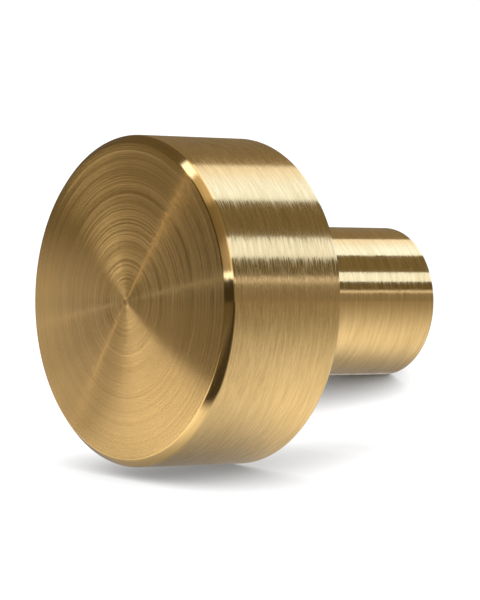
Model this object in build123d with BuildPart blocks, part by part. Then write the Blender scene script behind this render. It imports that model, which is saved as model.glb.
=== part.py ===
from build123d import *
import os
from math import radians, tan

os.makedirs("parts", exist_ok=True)

# A cabinet knob turned in one piece from solid brass bar. All sizes are in millimetres.
# Its axis lies along Y: the grip face looks towards -Y, and the mounting face, which sits
# against the door, lies in the XZ plane with its centre at the origin.

# Head: the thick disc that the fingers grip
head_diameter = 30.0
head_depth = 12.75
face_chamfer = 0.65
head_back_edge_break = 0.2

# Neck: the plain stem that holds the head off the door
neck_diameter = 14.0
projection = 31.0
neck_corner_radius = 0.4
neck_end_edge_break = 0.25

# Fixing hole: drilled and tapped from the mounting face for a machine screw
screw_diameter = 4.0
thread_pitch = 0.7
thread_depth = 12.0
drill_run_out = 3.0
drill_point_angle = 118.0
mouth_chamfer = 0.4

# Places that follow from the sizes above
head_radius = head_diameter / 2
neck_radius = neck_diameter / 2
face_y = -projection
head_back_y = face_y + head_depth
screw_radius = screw_diameter / 2
tap_drill_radius = (screw_diameter - thread_pitch) / 2
drill_end_y = -thread_depth - drill_run_out
drill_point_depth = tap_drill_radius / tan(radians(drill_point_angle / 2))

with BuildPart() as knob:
    # The outside is one turned shape, drawn as its half-section and spun about the axis
    with BuildSketch(Plane.XY):
        with BuildLine():
            Polyline(
                (0, face_y),
                (head_radius, face_y),
                (head_radius, head_back_y),
                (neck_radius, head_back_y),
                (neck_radius, 0),
                (0, 0),
                close=True,
            )
        make_face()
    revolve(axis=Axis.Y)

    # The turning tool's nose leaves a small radius where the neck meets the back of the head
    neck_corner = knob.edges().filter_by(GeomType.CIRCLE).group_by(Axis.Y)[1].sort_by(SortBy.RADIUS)[0]
    fillet(neck_corner, radius=neck_corner_radius)

    # The face's rim has a wide polished chamfer, and the other two rims a small edge break
    face_rim = knob.edges().filter_by(GeomType.CIRCLE).group_by(Axis.Y)[0]
    chamfer(face_rim, length=face_chamfer)
    head_back_rim = knob.edges().filter_by(GeomType.CIRCLE).group_by(SortBy.RADIUS)[-1].sort_by(Axis.Y)[-1]
    chamfer(head_back_rim, length=head_back_edge_break)
    neck_end_rim = knob.edges().filter_by(GeomType.CIRCLE).group_by(Axis.Y)[-1]
    chamfer(neck_end_rim, length=neck_end_edge_break)

    # The hole is drawn as its tools leave it: countersunk mouth, tapped wall, tap drill and drill point
    with BuildSketch(Plane.XY):
        with BuildLine():
            Polyline(
                (0, 0),
                (screw_radius + mouth_chamfer, 0),
                (screw_radius, -mouth_chamfer),
                (screw_radius, -thread_depth),
                (tap_drill_radius, -thread_depth),
                (tap_drill_radius, drill_end_y),
                (0, drill_end_y - drill_point_depth),
                close=True,
            )
        make_face()
    revolve(axis=Axis.Y, mode=Mode.SUBTRACT)

knob.part.label = "knob"
export_step(knob.part, "parts/knob.step")
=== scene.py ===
from math import cos, radians, sin, tan

import bmesh
import bpy
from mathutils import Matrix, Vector


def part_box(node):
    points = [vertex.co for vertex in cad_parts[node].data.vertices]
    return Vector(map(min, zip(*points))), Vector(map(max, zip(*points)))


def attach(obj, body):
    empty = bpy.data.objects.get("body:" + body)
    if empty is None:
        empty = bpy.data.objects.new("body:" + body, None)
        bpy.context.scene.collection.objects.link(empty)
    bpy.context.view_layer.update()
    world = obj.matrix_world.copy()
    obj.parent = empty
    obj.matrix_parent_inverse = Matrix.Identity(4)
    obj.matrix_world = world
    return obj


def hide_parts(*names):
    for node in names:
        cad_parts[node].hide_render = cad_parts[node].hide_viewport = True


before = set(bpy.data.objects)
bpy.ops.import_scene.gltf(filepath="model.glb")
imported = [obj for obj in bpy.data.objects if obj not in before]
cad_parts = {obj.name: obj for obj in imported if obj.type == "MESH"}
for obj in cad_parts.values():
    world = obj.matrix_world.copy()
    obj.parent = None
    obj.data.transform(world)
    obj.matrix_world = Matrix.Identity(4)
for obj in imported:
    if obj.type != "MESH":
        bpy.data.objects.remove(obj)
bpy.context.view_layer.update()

# Knob body: the head and neck of a cabinet knob, turned in one piece from solid brass bar
# and brushed round its axis. The hole for the fixing screw is drilled and tapped from the
# mounting face, which sits against the door at y = 0.
knob_low, knob_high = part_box("knob")
head_radius = (knob_high.x - knob_low.x) / 2
face_y = knob_low.y
mounting_y = knob_high.y
head_depth = 0.01275
head_back_y = face_y + head_depth
neck_radius = 0.007
neck_length = mounting_y - head_back_y
face_chamfer = 0.00065
head_back_edge_break = 0.0002
neck_corner_radius = 0.0004
neck_end_edge_break = 0.00025
rim_wear = 0.0002
worn_edge_width = 0.0001
screw_radius = 0.002
thread_pitch = 0.0007
thread_depth = 0.012
mouth_chamfer = 0.0004
mouth_radius = screw_radius + mouth_chamfer
tap_drill_radius = screw_radius - thread_pitch / 2
drill_run_out = 0.003
drill_point_depth = tap_drill_radius / tan(radians(59))
ring_steps = 256
hair = 1e-6


def pick_faces(piece, test):
    """Selects the faces of the piece, open in edit mode, that pass the test."""
    bpy.ops.mesh.select_mode(type="FACE")
    bpy.ops.mesh.select_all(action="DESELECT")
    shape = bmesh.from_edit_mesh(piece.data)
    for face in shape.faces:
        face.select_set(test(face))
    bmesh.update_edit_mesh(piece.data)


def off_axis(point):
    """Distance of a point from the knob's axis."""
    return Vector((point.x, point.z)).length


def pick_ring(piece, y, radius):
    """Selects the ring of edges at that place along the axis and that distance from it."""
    bpy.ops.mesh.select_mode(type="EDGE")
    bpy.ops.mesh.select_all(action="DESELECT")
    shape = bmesh.from_edit_mesh(piece.data)
    for edge in shape.edges:
        ends = [vertex.co for vertex in edge.verts]
        level = all(abs(end.y - y) < hair for end in ends)
        edge.select_set(level and all(abs(off_axis(end) - radius) < 10 * hair for end in ends))
    bmesh.update_edit_mesh(piece.data)


def extrude_along(distance):
    """Extrudes the selected face along the knob's axis."""
    bpy.ops.mesh.extrude_region_move(TRANSFORM_OT_translate={"value": (0, distance, 0)})


bpy.ops.object.select_all(action="DESELECT")
bpy.ops.mesh.primitive_cylinder_add(
    vertices=ring_steps,
    radius=head_radius,
    depth=head_depth,
    location=(0, face_y + head_depth / 2, 0),
    rotation=(radians(90), 0, 0),
)
knob = bpy.context.object
knob.name = "turned_knob"
bpy.ops.object.transform_apply(location=True, rotation=True, scale=True)
bpy.ops.object.mode_set(mode="EDIT")

# The neck is drawn out of the back of the head, and the hole goes into the neck's end
pick_faces(knob, lambda face: face.normal.y > 0.9)
bpy.ops.mesh.inset(thickness=head_radius - neck_radius)
extrude_along(neck_length)
bpy.ops.mesh.inset(thickness=neck_radius - mouth_radius)
extrude_along(-mouth_chamfer)
mouth_taper = screw_radius / mouth_radius
bpy.ops.transform.resize(value=(mouth_taper, 1, mouth_taper))
extrude_along(mouth_chamfer - thread_depth)
bpy.ops.mesh.inset(thickness=screw_radius - tap_drill_radius)
extrude_along(-drill_run_out)
extrude_along(-drill_point_depth)
bpy.ops.mesh.merge(type="CENTER")

# The rims are chamfered, and the corner behind the head keeps the tool's nose radius
pick_ring(knob, face_y, head_radius)
bpy.ops.mesh.bevel(offset=face_chamfer, segments=1, affect="EDGES")
pick_ring(knob, face_y + face_chamfer, head_radius)
bpy.ops.mesh.bevel(offset=rim_wear, segments=5, affect="EDGES")
pick_ring(knob, head_back_y, head_radius)
bpy.ops.mesh.bevel(offset=head_back_edge_break, segments=1, affect="EDGES")
pick_ring(knob, head_back_y, neck_radius)
bpy.ops.mesh.bevel(offset=neck_corner_radius, segments=5, affect="EDGES")
pick_ring(knob, mounting_y, neck_radius)
bpy.ops.mesh.bevel(offset=neck_end_edge_break, segments=1, affect="EDGES")
bpy.ops.object.mode_set(mode="OBJECT")

# Handling has worn the sharp edges slightly round, and the wide faces keep their true shading
worn_edges = knob.modifiers.new("worn_edges", "BEVEL")
worn_edges.width = worn_edge_width
worn_edges.segments = 3
worn_edges.limit_method = "ANGLE"
worn_edges.angle_limit = radians(30)
bpy.ops.object.modifier_apply(modifier=worn_edges.name)
bpy.ops.object.shade_smooth_by_angle(angle=radians(30))
true_faces = knob.modifiers.new("true_faces", "WEIGHTED_NORMAL")
true_faces.weight = 100
true_faces.keep_sharp = True
bpy.ops.object.modifier_apply(modifier=true_faces.name)

bright_brass = (0.86, 0.540, 0.212, 1)
dull_brass = (0.635, 0.392, 0.134, 1)


def calculate(tree, operation, first, second=0):
    """A Math node's output. Each input is a socket or a plain number."""
    node = tree.nodes.new("ShaderNodeMath")
    node.operation = operation
    for socket, value in zip(node.inputs, (first, second)):
        if isinstance(value, (int, float)):
            socket.default_value = value
        else:
            tree.links.new(value, socket)
    return node.outputs["Value"]


def fade(tree, value, start, end, low=0.0, high=1.0, smooth=True):
    """A Map Range node's output: low up to start, high from end on."""
    node = tree.nodes.new("ShaderNodeMapRange")
    node.interpolation_type = "SMOOTHSTEP" if smooth else "LINEAR"
    tree.links.new(value, node.inputs["Value"])
    node.inputs["From Min"].default_value = start
    node.inputs["From Max"].default_value = end
    node.inputs["To Min"].default_value = low
    node.inputs["To Max"].default_value = high
    return node.outputs["Result"]


def blend_colours(tree, factor, first, second):
    """A colour Mix node's output. Each colour is a socket or plain values."""
    node = tree.nodes.new("ShaderNodeMix")
    node.data_type = "RGBA"
    sockets = [s for s in node.inputs if s.type == "RGBA"]
    for socket, value in zip(sockets, (first, second)):
        if isinstance(value, tuple):
            socket.default_value = value
        else:
            tree.links.new(value, socket)
    tree.links.new(factor, node.inputs["Factor"])
    return [s for s in node.outputs if s.type == "RGBA"][0]


def turn_vector(tree, operation, first, second=None):
    """A Vector Math node's vector. Each input is a socket or plain values."""
    node = tree.nodes.new("ShaderNodeVectorMath")
    node.operation = operation
    for socket, value in zip(node.inputs, (first, second)):
        if isinstance(value, (tuple, Vector)):
            socket.default_value = value
        elif value is not None:
            tree.links.new(value, socket)
    return node.outputs["Value" if operation in ("DOT_PRODUCT", "LENGTH") else "Vector"]


def scaled(tree, vector, amount):
    """A vector made longer or shorter."""
    node = tree.nodes.new("ShaderNodeVectorMath")
    node.operation = "SCALE"
    tree.links.new(vector, node.inputs["Vector"])
    tree.links.new(amount, node.inputs["Scale"])
    return node.outputs["Vector"]


def turned_brass(
    name, roughness, spread, mark_width, mark_run, broad, tone_range, lean_along, lean_across, fan=0
):
    """Brass whose fine marks run round the knob's axis, as the lathe and the brush leave them.
    Each mark leans the surface a little along and across itself. The fan is the lean of the
    lathe's hairlines, too fine to see, which spread a reflection across the marks."""
    material = bpy.data.materials.new(name)
    material.use_nodes = True
    tree = material.node_tree
    brass = tree.nodes["Principled BSDF"]
    brass.inputs["Metallic"].default_value = 1
    brass.inputs["Anisotropic"].default_value = 1
    brass.inputs["Anisotropic Rotation"].default_value = 0.25

    place = tree.nodes.new("ShaderNodeTexCoord").outputs["Object"]
    round_axis = turn_vector(tree, "CROSS_PRODUCT", place, (0, 1, 0))
    tree.links.new(round_axis, brass.inputs["Tangent"])

    # Distance along the turned profile: outwards over the flat faces, and along the sides
    parts = tree.nodes.new("ShaderNodeSeparateXYZ")
    tree.links.new(place, parts.inputs["Vector"])
    radius = turn_vector(tree, "LENGTH", round_axis)
    profile = calculate(tree, "ADD", radius, parts.outputs["Y"])
    mark_place = tree.nodes.new("ShaderNodeCombineXYZ")
    tree.links.new(parts.outputs["X"], mark_place.inputs["X"])
    tree.links.new(profile, mark_place.inputs["Y"])
    tree.links.new(parts.outputs["Z"], mark_place.inputs["Z"])

    def marks(width, run):
        """Streaks of that width and run, which follow the tool round the axis."""
        stretch = tree.nodes.new("ShaderNodeMapping")
        stretch.inputs["Scale"].default_value = (1 / run, 1 / width, 1 / run)
        tree.links.new(mark_place.outputs["Vector"], stretch.inputs["Vector"])
        noise = tree.nodes.new("ShaderNodeTexNoise")
        noise.inputs["Scale"].default_value = 1
        noise.inputs["Detail"].default_value = 2
        noise.inputs["Roughness"].default_value = 0.6
        tree.links.new(stretch.outputs["Vector"], noise.inputs["Vector"])
        return noise.outputs

    fine = marks(mark_width, mark_run)
    coarse = marks(mark_width * broad, mark_run * 2.5)
    lean = tree.nodes.new("ShaderNodeSeparateXYZ")
    both_ways = turn_vector(tree, "SUBTRACT", fine["Color"], (0.5, 0.5, 0.5))
    tree.links.new(both_ways, lean.inputs["Vector"])
    upright = tree.nodes.new("ShaderNodeNewGeometry").outputs["Normal"]
    along = turn_vector(tree, "NORMALIZE", round_axis)
    across = turn_vector(tree, "CROSS_PRODUCT", upright, along)
    lean_1 = scaled(tree, along, calculate(tree, "MULTIPLY", lean.outputs["X"], lean_along))

    # The marks are deepest over the top of the knob, and rubbed down towards its underside
    height = parts.outputs["Z"]
    depth_start, depth_end = -0.6 * head_radius, 0.3 * head_radius
    depth = fade(tree, height, depth_start, depth_end, 0.08 * lean_across, lean_across)
    tilt = calculate(tree, "MULTIPLY", lean.outputs["Y"], depth)
    rubbed = 1
    if fan:
        rub_start, rub_end = -0.85 * head_radius, -0.3 * head_radius
        hairline = calculate(tree, "SUBTRACT", marks(mark_width / 100, mark_run)["Fac"], 0.5)
        hairline_lean = fade(tree, height, rub_start, rub_end, 0.35 * fan, fan)
        tilt = calculate(tree, "ADD", tilt, calculate(tree, "MULTIPLY", hairline, hairline_lean))
        rubbed = fade(tree, height, rub_start, rub_end, 1.5, 1)
    lean_2 = scaled(tree, across, tilt)
    leaning = turn_vector(tree, "ADD", upright, turn_vector(tree, "ADD", lean_1, lean_2))
    tree.links.new(turn_vector(tree, "NORMALIZE", leaning), brass.inputs["Normal"])

    # The tone and the gloss change from mark to mark
    rough = fade(tree, fine["Fac"], 0.35, 0.65, roughness * (1 - spread), roughness * (1 + spread))
    tree.links.new(calculate(tree, "MULTIPLY", rough, rubbed), brass.inputs["Roughness"])
    both = calculate(tree, "ADD", fine["Fac"], coarse["Fac"])
    tone = fade(tree, both, 1 - tone_range, 1 + tone_range, smooth=False)
    tree.links.new(blend_colours(tree, tone, dull_brass, bright_brass), brass.inputs["Base Color"])
    return material


face_brass = turned_brass("turned_face", 0.18, 0.05, 0.00012, 0.025, 2.2, 0.6, 0.01, 0.72, 1.8)
side_brass = turned_brass("brushed_side", 0.26, 0.35, 0.00008, 0.0015, 4, 0.31, 0.08, 0.9)
neck_brass = turned_brass("brushed_neck", 0.19, 0.40, 0.00008, 0.0015, 4, 0.30, 0.05, 0.8)
edge_brass = turned_brass("polished_edge", 0.16, 0.10, 0.00007, 0.0025, 4, 0.6, 0.05, 0.1)
hole_brass = turned_brass("tapped_hole", 0.40, 0.10, 0.00010, 0.002, 4, 0.3, 0.1, 0.5)
knob_finishes = [face_brass, side_brass, neck_brass, edge_brass, hole_brass]
for finish in knob_finishes:
    knob.data.materials.append(finish)


def finish_of(polygon):
    """The finish of one face of the knob, by where it lies and which way it looks."""
    distance = off_axis(polygon.center)
    if distance < mouth_radius and polygon.center.y > face_y + face_chamfer:
        return hole_brass
    if abs(polygon.normal.y) > 0.999:
        return face_brass
    if abs(polygon.normal.y) < 0.001:
        return side_brass if distance > (head_radius + neck_radius) / 2 else neck_brass
    return edge_brass


for polygon in knob.data.polygons:
    polygon.material_index = knob_finishes.index(finish_of(polygon))
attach(knob, "root")
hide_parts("knob")

# Screw thread: the ridge that the tap leaves winding down the wall of the hole, of the same
# brass. It starts below the countersunk mouth and ends where the tap stopped.
ridge_root_radius = screw_radius + 0.00002
ridge_tip_radius = screw_radius - 0.54 * thread_pitch
ridge_root_width = thread_pitch * 0.86
ridge_tip_width = thread_pitch * 0.25
ridge_corners = 4
thread_start_y = mounting_y - mouth_chamfer - ridge_root_width / 2
thread_turns = int((thread_start_y + thread_depth - ridge_root_width / 2) / thread_pitch)
lead_steps = 20
bpy.ops.object.select_all(action="DESELECT")
bpy.ops.mesh.primitive_plane_add(size=1)
thread = bpy.context.object
thread.name = "screw_thread"
bpy.ops.object.mode_set(mode="EDIT")
bpy.ops.transform.resize(value=(ridge_root_radius - ridge_tip_radius, ridge_root_width, 1))
bpy.ops.transform.translate(value=((ridge_root_radius + ridge_tip_radius) / 2, thread_start_y, 0))
bpy.ops.mesh.select_mode(type="VERT")
bpy.ops.mesh.select_all(action="DESELECT")
ridge = bmesh.from_edit_mesh(thread.data)
for vertex in ridge.verts:
    vertex.select_set(vertex.co.x < screw_radius - 10 * hair)
bmesh.update_edit_mesh(thread.data)
bpy.ops.transform.resize(
    value=(1, ridge_tip_width / ridge_root_width, 1), center_override=(0, thread_start_y, 0)
)
bpy.ops.mesh.select_all(action="SELECT")
bpy.ops.mesh.delete(type="ONLY_FACE")
bpy.ops.object.mode_set(mode="OBJECT")
winding = thread.modifiers.new("winding", "SCREW")
winding.axis = "Y"
winding.angle = radians(360)
winding.screw_offset = -thread_pitch
winding.iterations = thread_turns
winding.steps = 48
winding.render_steps = 48
bpy.ops.object.modifier_apply(modifier=winding.name)
bpy.ops.object.mode_set(mode="EDIT")

# The ridge grows out of the wall over the first part of its first turn
bpy.ops.mesh.select_mode(type="VERT")
for step in range(lead_steps):
    bpy.ops.mesh.select_all(action="DESELECT")
    ridge = bmesh.from_edit_mesh(thread.data)
    for vertex in ridge.verts:
        at_tip = off_axis(vertex.co) < screw_radius - 10 * hair
        vertex.select_set(at_tip and vertex.index // ridge_corners == step)
    bmesh.update_edit_mesh(thread.data)
    height = (ridge_root_radius - ridge_tip_radius) * (step + 1) / (lead_steps + 1)
    growth = (ridge_root_radius - height) / ridge_tip_radius
    bpy.ops.transform.resize(value=(growth, 1, growth), center_override=(0, 0, 0))
bpy.ops.mesh.select_mode(type="EDGE")
bpy.ops.mesh.select_all(action="DESELECT")
bpy.ops.mesh.select_non_manifold()
bpy.ops.mesh.edge_face_add()
bpy.ops.mesh.select_all(action="SELECT")
bpy.ops.mesh.normals_make_consistent(inside=False)
bpy.ops.object.mode_set(mode="OBJECT")
bpy.ops.object.shade_smooth_by_angle(angle=radians(30))
thread.data.materials.append(hole_brass)
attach(thread, "root")

# Floor: the sheet of white paper that the knob lies on in the studio, sloping gently down to
# the camera. Its shade is mostly painted: its glow dims near the knob, deepest where the back
# of the head touches it.
floor_size = 4.6
rise_back = tan(radians(5))
rise_left = tan(radians(4))
bpy.ops.object.select_all(action="DESELECT")
bpy.ops.mesh.primitive_plane_add(size=floor_size, location=(0, head_back_y, knob_low.z - 0.00005))
floor = bpy.context.object
floor.name = "floor"
bpy.ops.object.transform_apply(location=True, rotation=True, scale=True)
bpy.ops.object.mode_set(mode="EDIT")


def lift_corners(piece, test, height):
    """Lifts the corners of the sheet, open in edit mode, that pass the test."""
    bpy.ops.mesh.select_mode(type="VERT")
    bpy.ops.mesh.select_all(action="DESELECT")
    shape = bmesh.from_edit_mesh(piece.data)
    for vertex in shape.verts:
        vertex.select_set(test(vertex.co))
    bmesh.update_edit_mesh(piece.data)
    bpy.ops.transform.translate(value=(0, 0, height))


lift_corners(floor, lambda corner: corner.y > head_back_y, rise_back * floor_size / 2)
lift_corners(floor, lambda corner: corner.y < head_back_y, -rise_back * floor_size / 2)
lift_corners(floor, lambda corner: corner.x < 0, rise_left * floor_size / 2)
lift_corners(floor, lambda corner: corner.x > 0, -rise_left * floor_size / 2)
bpy.ops.object.mode_set(mode="OBJECT")
floor.visible_glossy = False


def seen_directly(tree):
    """1 for rays from the camera, from a mirror or through glass, and 0 for the rest."""
    path = tree.nodes.new("ShaderNodeLightPath").outputs
    seen = calculate(tree, "MAXIMUM", path["Is Camera Ray"], path["Is Glossy Ray"])
    return calculate(tree, "MAXIMUM", seen, path["Is Transmission Ray"])


def paper_with_painted_shade(name, reach, least, most):
    """Matt white paper with a painted shade: its glow, seen directly, dims where something is
    nearer to it than the reach, and only its weak diffuse part takes real shadow.
    """
    material = bpy.data.materials.new(name)
    material.use_nodes = True
    tree = material.node_tree
    sheet = tree.nodes["Principled BSDF"]
    sheet.inputs["Base Color"].default_value = (0.15, 0.15, 0.15, 1)
    sheet.inputs["Roughness"].default_value = 1
    sheet.inputs["Specular IOR Level"].default_value = 0
    sheet.inputs["Emission Color"].default_value = (1, 1, 1, 1)
    open_air = tree.nodes.new("ShaderNodeAmbientOcclusion")
    open_air.samples = 16
    open_air.inputs["Distance"].default_value = reach
    # Painted shade: the glow seen directly is dimmed by ambient occlusion, not by the lamps
    shade = fade(tree, open_air.outputs["AO"], least, most, smooth=False)
    painted_shade_glow = calculate(tree, "MULTIPLY", seen_directly(tree), shade)
    tree.links.new(painted_shade_glow, sheet.inputs["Emission Strength"])
    return material


# The floor's shade under the knob is painted in this paper's glow
floor.data.materials.append(paper_with_painted_shade("paper_with_painted_shade", 0.012, -0.20, 0.77))

# Rest: a slip of the same paper that slopes up under the neck and touches it near its end,
# put there to carry a painted shade under the neck. It is seen only from the front, so that it
# never hides the knob, and thins out to nothing behind the head.
view_azimuth = radians(51.3536)
towards_camera = Vector((sin(view_azimuth), -cos(view_azimuth), 0))
picture_right = Vector((cos(view_azimuth), sin(view_azimuth), 0))
rest_slope = radians(27)
rest_left, rest_right = -0.017, 0.040
rest_front, rest_back = -0.0080, 0.0098
touch = Vector((0, mounting_y - 0.0012, -neck_radius - 0.00005))
bpy.ops.object.select_all(action="DESELECT")
bpy.ops.mesh.primitive_plane_add(size=1)
rest = bpy.context.object
rest.name = "rest"
bpy.ops.object.mode_set(mode="EDIT")
bpy.ops.transform.resize(value=(rest_right - rest_left, rest_back - rest_front, 1))
bpy.ops.transform.translate(value=((rest_left + rest_right) / 2, (rest_front + rest_back) / 2, 0))
bpy.ops.object.mode_set(mode="OBJECT")
rest.rotation_euler = (rest_slope, 0, view_azimuth)
rest.location = touch - picture_right * touch.dot(picture_right)
bpy.ops.object.transform_apply(location=True, rotation=True, scale=True)
rest.visible_glossy = False
rest.visible_diffuse = False
rest.visible_shadow = False
# Painted shade under the neck: the slip's glow dims where the neck is near
neck_painted_shade_paper = paper_with_painted_shade("neck_painted_shade_paper", 0.0050, 0.04, 0.72)
rest_tree = neck_painted_shade_paper.node_tree
rest_behind = rest_tree.nodes.new("ShaderNodeNewGeometry").outputs["Backfacing"]
rest_place = rest_tree.nodes.new("ShaderNodeTexCoord").outputs["Object"]
rest_along = turn_vector(rest_tree, "DOT_PRODUCT", rest_place, picture_right)
rest_end = fade(rest_tree, rest_along, rest_left + 0.010, rest_left + 0.001)
rest_mix = rest_tree.nodes.new("ShaderNodeMixShader")
rest_clear = rest_tree.nodes.new("ShaderNodeBsdfTransparent")
rest_unseen = calculate(rest_tree, "MAXIMUM", rest_behind, rest_end)
rest_tree.links.new(rest_unseen, rest_mix.inputs["Fac"])
rest_tree.links.new(rest_tree.nodes["Principled BSDF"].outputs["BSDF"], rest_mix.inputs[1])
rest_tree.links.new(rest_clear.outputs["BSDF"], rest_mix.inputs[2])
rest_surface = rest_tree.nodes["Material Output"].inputs["Surface"]
rest_tree.links.new(rest_mix.outputs["Shader"], rest_surface)
rest.data.materials.append(neck_painted_shade_paper)

# Room: a pale studio with one broad lamp overhead, which together light the floor at a plain
# level and leave a faint real shadow under the knob, beneath the paper's painted shade.
world = bpy.data.worlds.new("studio")
bpy.context.scene.world = world
world.use_nodes = True
world_tree = world.node_tree
soft_fill = world_tree.nodes["Background"]
soft_fill.inputs["Color"].default_value = (0.95, 0.97, 1.0, 1)
soft_fill.inputs["Strength"].default_value = 0.8
white = world_tree.nodes.new("ShaderNodeBackground")
white.inputs["Color"].default_value = (1, 1, 1, 1)
white.inputs["Strength"].default_value = 1
sky = world_tree.nodes.new("ShaderNodeMixShader")
world_tree.links.new(seen_directly(world_tree), sky.inputs["Fac"])
world_tree.links.new(soft_fill.outputs["Background"], sky.inputs[1])
world_tree.links.new(white.outputs["Background"], sky.inputs[2])
world_tree.links.new(sky.outputs["Shader"], world_tree.nodes["World Output"].inputs["Surface"])

bpy.ops.object.light_add(type="SUN", location=(0, 0, 0.5))
key_lamp = bpy.context.object
key_lamp.name = "overhead_lamp"
key_lamp.data.angle = radians(70)
key_lamp.data.energy = 0.9
key_lamp.visible_glossy = False

# Dome of panels: painted reflections of lamps behind cloth, dark cloth and the gaps between,
# out of the picture. The panels glow only for the brass and light nothing else. All the seams
# lie in planes through one line level with the knob, so each panel shows as a straight band
# along the brushed sides.
dome_radius = 2.0
seam_line_x = -dome_radius * towards_camera.x
# Levels of the painted reflections, above 1 where they stand for lamps
lamp_cloth = (1.4, 2.0, 3.4, 1)
lamp_top = (1.28, 1.5, 1.85, 1)
strip_lamp = (1.33, 1.83, 3.1, 1)
gap_light = (0.95, 1.05, 1.3, 1)
dark_cloth = (0.215, 0.205, 0.145, 1)
darker_cloth = (0.15, 0.145, 0.105, 1)
grey_cloth = (0.33, 0.32, 0.30, 1)
top_cloth = (0.31, 0.28, 0.20, 1)
dim_room = (0.064, 0.058, 0.042, 1)
dim_ceiling = (0.143, 0.129, 0.096, 1)
window_light = (2.1, 1.85, 1.4, 1)
black_cloth = (0.05, 0.045, 0.03, 1)
slit_light = (2.2, 2.7, 3.8, 1)
edge_light = (1.3, 1.32, 1.35, 1)
edge_cloth = (0.36, 0.335, 0.28, 1)
gold_cloth = (0.72, 0.68, 0.57, 1)
tan_cloth = (0.25, 0.22, 0.16, 1)
pale_cloth = (0.44, 0.41, 0.38, 1)


def seen_in_brass_only(card):
    """The card shows in reflections, and neither in the picture nor in the light on the floor."""
    card.visible_camera = False
    card.visible_diffuse = False
    card.visible_transmission = False
    card.visible_volume_scatter = False
    card.visible_shadow = False


def glowing(name):
    """A bare emission material, and its emission node."""
    material = bpy.data.materials.new(name)
    material.use_nodes = True
    tree = material.node_tree
    tree.nodes.remove(tree.nodes["Principled BSDF"])
    glow = tree.nodes.new("ShaderNodeEmission")
    tree.links.new(glow.outputs["Emission"], tree.nodes["Material Output"].inputs["Surface"])
    return material, glow


bpy.ops.object.select_all(action="DESELECT")
bpy.ops.mesh.primitive_uv_sphere_add(segments=64, ring_count=32, radius=dome_radius)
dome = bpy.context.object
dome.name = "studio_dome"
bpy.ops.object.mode_set(mode="EDIT")
bpy.ops.mesh.bisect(plane_co=(0, 0, knob_low.z), plane_no=(0, 0, 1), clear_inner=True)
bpy.ops.object.mode_set(mode="OBJECT")

lining, dome_glow = glowing("studio_panels")
dome_tree = lining.node_tree
dome_place = dome_tree.nodes.new("ShaderNodeTexCoord").outputs["Object"]
dome_parts = dome_tree.nodes.new("ShaderNodeSeparateXYZ")
dome_tree.links.new(dome_place, dome_parts.inputs["Vector"])
from_seam_line = calculate(dome_tree, "SUBTRACT", dome_parts.outputs["X"], seam_line_x)
seam_angle = calculate(dome_tree, "ARCTAN2", dome_parts.outputs["Z"], from_seam_line)


def panel_levels(panels):
    """The level of the panel that each seam angle falls on. Each panel has the angle of the
    seam that it starts at, the width of that seam, and its level."""
    level = panels[0][2]
    for seam, width, next_level in panels[1:]:
        past_seam = fade(
            dome_tree, seam_angle, radians(seam - width / 2), radians(seam + width / 2)
        )
        level = blend_colours(dome_tree, past_seam, level, next_level)
    return level


side_panels = panel_levels(
    (
        (-90, 0, grey_cloth),
        (6.2, 0.3, gap_light),
        (8.2, 0.3, darker_cloth),
        (14.8, 0.5, strip_lamp),
        (22.3, 0.5, dark_cloth),
        (37.2, 0.5, lamp_cloth),
        (48.0, 12, lamp_top),
        (55.2, 1.2, top_cloth),
    )
)
rim_panels = panel_levels(
    (
        (-90, 0, black_cloth),
        (7.8, 0.4, slit_light),
        (10.2, 0.4, pale_cloth),
        (20.0, 6, tan_cloth),
        (37.0, 5, gold_cloth),
        (50.0, 3, slit_light),
        (57.5, 1.5, dim_ceiling),
    )
)
edge_panels = panel_levels(
    (
        (-90, 0, black_cloth),
        (7.8, 0.4, slit_light),
        (10.2, 0.4, edge_light),
        (22.0, 5, edge_cloth),
        (37.0, 4, edge_light),
        (57.5, 1.5, dim_ceiling),
    )
)
face_panels = panel_levels(
    (
        (-90, 0, dim_room),
        (8.0, 0.4, gap_light),
        (9.8, 0.4, dim_room),
        (53.0, 0.4, window_light),
        (55.0, 0.4, dim_ceiling),
    )
)

# The sides, the worn edge, the rim and the face each look another way, and mirror painted
# panels of their own. How far forwards a place on the dome lies tells which of them mirrors it.
seam_reach = calculate(
    dome_tree,
    "SQRT",
    calculate(
        dome_tree,
        "ADD",
        calculate(dome_tree, "POWER", from_seam_line, 2),
        calculate(dome_tree, "POWER", dome_parts.outputs["Z"], 2),
    ),
)
forwards = calculate(
    dome_tree,
    "DIVIDE",
    calculate(dome_tree, "SUBTRACT", -dome_radius * towards_camera.y, dome_parts.outputs["Y"]),
    seam_reach,
)
panels = blend_colours(dome_tree, fade(dome_tree, forwards, 0.45, 0.55), side_panels, edge_panels)
panels = blend_colours(dome_tree, fade(dome_tree, forwards, 0.74, 0.84), panels, rim_panels)
panels = blend_colours(dome_tree, fade(dome_tree, forwards, 1.25, 1.5), panels, face_panels)
dome_tree.links.new(panels, dome_glow.inputs["Color"])
dome.data.materials.append(lining)
seen_in_brass_only(dome)

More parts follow.
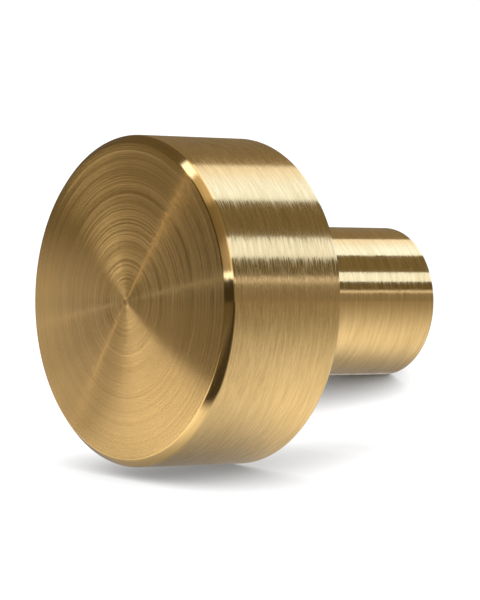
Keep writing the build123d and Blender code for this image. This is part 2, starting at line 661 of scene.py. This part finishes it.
# Graded card: lies on the floor and is the painted reflection of it that the brass mirrors: a
# painted pool of light round the knob that fades with distance, a strip of white card before
# the face, black cloth on the camera's side and painted shade under the knob.
pool_centre = (-0.009, -0.0075, knob_low.z)
pool_radius = 0.028
pool_colour = (1.86, 2.05, 2.35, 1)
far_colour = (0.28, 0.275, 0.26, 1)
back_colour = (0.42, 0.41, 0.38, 1)
dark_centre = (-0.0077, -0.035, knob_low.z)
dark_size = (0.0175, 0.058, 1)
neck_shade_centre = (-0.018, 0.0115, knob_low.z)
neck_shade_size = (0.011, 0.009, 1)
neck_shade_colour = (0.12, 0.09, 0.05, 1)
strip_colour = (1.32, 1.37, 1.40, 1)
foot_centre = (0.008, -0.016, knob_low.z)
foot_size = (0.006, 0.004, 1)
foot_colour = (0.24, 0.23, 0.17, 1)
cloth_turn = 0.26
cloth_edge = 0.0116
cloth_fade = 0.011
cloth_rim_width = 0.027
cloth_level = (0.15, 0.138, 0.10, 1)
cloth_rim_level = (0.46, 0.42, 0.32, 1)
no_light = (0, 0, 0, 1)
bpy.ops.object.select_all(action="DESELECT")
bpy.ops.mesh.primitive_plane_add(size=floor_size, location=(0, 0, knob_low.z - 0.00001))
pool = bpy.context.object
pool.name = "floor_pool"
bpy.ops.object.transform_apply(location=True, rotation=True, scale=True)
graded_card, pool_glow = glowing("graded_card")
pool_tree = graded_card.node_tree
pool_place = pool_tree.nodes.new("ShaderNodeTexCoord").outputs["Object"]
pool_parts = pool_tree.nodes.new("ShaderNodeSeparateXYZ")
pool_tree.links.new(pool_place, pool_parts.inputs["Vector"])


def distance_squared(centre, size):
    """How far a place on the card is from a centre, squared, counted in sizes."""
    offset = turn_vector(pool_tree, "SUBTRACT", pool_place, centre)
    steps = turn_vector(pool_tree, "DIVIDE", offset, size)
    return turn_vector(pool_tree, "DOT_PRODUCT", steps, steps)


def spot(most, centre, size, power):
    """A soft round spot: the most at its centre, and half of that one size away."""
    away = calculate(pool_tree, "POWER", distance_squared(centre, size), power)
    return calculate(pool_tree, "DIVIDE", most, calculate(pool_tree, "ADD", away, 1))


# The painted pool of light round the knob, on a floor painted paler behind it
pool_share = spot(1, pool_centre, (pool_radius, pool_radius, 1), 1)
far_back = fade(pool_tree, pool_parts.outputs["Y"], 0.0, 0.035)
far_light = blend_colours(pool_tree, far_back, far_colour, back_colour)
pool_light = blend_colours(pool_tree, pool_share, far_light, pool_colour)

# Painted shade under the head, and the painted shadow that the neck throws to the left
dark_share = spot(0.77, dark_centre, dark_size, 4)
pool_light = blend_colours(pool_tree, dark_share, pool_light, no_light)
neck_share = spot(0.6, neck_shade_centre, neck_shade_size, 2)
pool_light = blend_colours(pool_tree, neck_share, pool_light, neck_shade_colour)

# A painted glow at the foot of the head, and the painted strip of white card before the face
foot_light = blend_colours(pool_tree, spot(1, foot_centre, foot_size, 2), no_light, foot_colour)
pool_light = turn_vector(pool_tree, "ADD", pool_light, foot_light)
slanted = turn_vector(pool_tree, "DOT_PRODUCT", pool_place, (1, 0.3, 0))
strip_left = fade(pool_tree, slanted, -0.112, -0.070)
strip_right = fade(pool_tree, pool_parts.outputs["X"], 0.015, 0.007)
strip_front = fade(pool_tree, pool_parts.outputs["Y"], -0.106, -0.078)
strip_back = fade(pool_tree, pool_parts.outputs["Y"], -0.029, -0.037)
strip = calculate(
    pool_tree,
    "MULTIPLY",
    calculate(pool_tree, "MULTIPLY", strip_left, strip_right),
    calculate(pool_tree, "MULTIPLY", strip_front, strip_back),
)
strip_light = blend_colours(pool_tree, strip, no_light, strip_colour)
pool_light = turn_vector(pool_tree, "ADD", pool_light, strip_light)

# The painted dark cloth on the camera's side, paler along the right of its edge
cloth_start = face_y * towards_camera.y + cloth_edge + cloth_turn * 0.045
cloth_across = towards_camera - cloth_turn * picture_right
cloth_offset = turn_vector(pool_tree, "DOT_PRODUCT", pool_place, cloth_across)
cloth_side = turn_vector(pool_tree, "DOT_PRODUCT", pool_place, picture_right)
cloth_rim = calculate(
    pool_tree,
    "MULTIPLY",
    fade(pool_tree, cloth_offset, cloth_start + cloth_rim_width, cloth_start + cloth_fade),
    fade(pool_tree, pool_parts.outputs["X"], -0.014, -0.004),
)
cloth_light = blend_colours(pool_tree, cloth_rim, cloth_level, cloth_rim_level)
painted_dark_cloth = calculate(
    pool_tree,
    "MULTIPLY",
    fade(pool_tree, cloth_offset, cloth_start, cloth_start + cloth_fade),
    fade(pool_tree, cloth_side, -0.020, -0.044),
)

# The painted black patch before the knob, which darkens what the lower right of the rim mirrors
patch_offset = turn_vector(pool_tree, "DOT_PRODUCT", pool_place, towards_camera)
painted_dark_patch = calculate(
    pool_tree,
    "MULTIPLY",
    fade(pool_tree, patch_offset, 0.0303, 0.0336),
    fade(pool_tree, cloth_side, -0.031, -0.025),
)
patch_back = fade(pool_tree, pool_parts.outputs["Y"], -0.026, -0.032)
painted_dark_patch = calculate(pool_tree, "MULTIPLY", painted_dark_patch, patch_back)
pool_light = blend_colours(pool_tree, painted_dark_patch, pool_light, black_cloth)
pool_light = blend_colours(pool_tree, painted_dark_cloth, pool_light, cloth_light)

pool_tree.links.new(pool_light, pool_glow.inputs["Color"])
pool.data.materials.append(graded_card)
seen_in_brass_only(pool)

# Side card: a low white card that stands left of the knob, out of the picture, and lifts the
# left of the face. It glows only for the brass: a painted reflection that lights nothing else.
side_card_x = -0.020
side_card_start, side_card_end = -0.0435, -0.032
side_card_top = 0.0045
side_card_colour = (0.66, 0.66, 0.65, 1)
bpy.ops.object.select_all(action="DESELECT")
bpy.ops.mesh.primitive_plane_add(
    size=0.12, location=(side_card_x, -0.031, 0), rotation=(0, radians(90), 0)
)
side_card = bpy.context.object
side_card.name = "side_card"
bpy.ops.object.transform_apply(location=True, rotation=True, scale=True)
card_white, card_glow = glowing("side_card")
card_tree = card_white.node_tree
card_parts = card_tree.nodes.new("ShaderNodeSeparateXYZ")
card_place = card_tree.nodes.new("ShaderNodeTexCoord").outputs["Object"]
card_tree.links.new(card_place, card_parts.inputs["Vector"])
card_y, card_z = card_parts.outputs["Y"], card_parts.outputs["Z"]
card_front = fade(card_tree, card_y, side_card_start - 0.006, side_card_start + 0.006)
card_back = fade(card_tree, card_y, side_card_end + 0.006, side_card_end - 0.006)
card_top = fade(card_tree, card_z, side_card_top + 0.004, side_card_top - 0.004)
card_length = calculate(card_tree, "MULTIPLY", card_front, card_back)
on_card = calculate(card_tree, "MULTIPLY", card_length, card_top)
card_glow.inputs["Color"].default_value = side_card_colour
see_past = card_tree.nodes.new("ShaderNodeBsdfTransparent")
card_mix = card_tree.nodes.new("ShaderNodeMixShader")
card_tree.links.new(on_card, card_mix.inputs["Fac"])
card_tree.links.new(see_past.outputs["BSDF"], card_mix.inputs[1])
card_tree.links.new(card_glow.outputs["Emission"], card_mix.inputs[2])
card_surface = card_tree.nodes["Material Output"].inputs["Surface"]
card_tree.links.new(card_mix.outputs["Shader"], card_surface)
side_card.data.materials.append(card_white)
seen_in_brass_only(side_card)

# Camera: a long lens at the photograph's viewing angle, level with the knob's axis.
picture_width, picture_height = 480, 600
view_distance = 0.30855
pixels_per_metre = 161.5221 / 0.015
aim = Vector((0, -0.016, 0))
aim_column, aim_row = 256.26, 301.06
picture_up = Vector((0, 0, 1))
centre_of_view = (
    aim
    - picture_right * ((aim_column - picture_width / 2) / pixels_per_metre)
    + picture_up * ((aim_row - picture_height / 2) / pixels_per_metre)
)
bpy.ops.object.camera_add(location=aim + towards_camera * view_distance)
camera = bpy.context.object
camera.data.lens = 199.4
camera.data.sensor_width = 36
looking = centre_of_view - camera.location
camera.rotation_mode = "QUATERNION"
camera.rotation_quaternion = looking.to_track_quat("-Z", "Y")
bpy.context.scene.camera = camera
bpy.context.scene.view_settings.view_transform = "Standard"
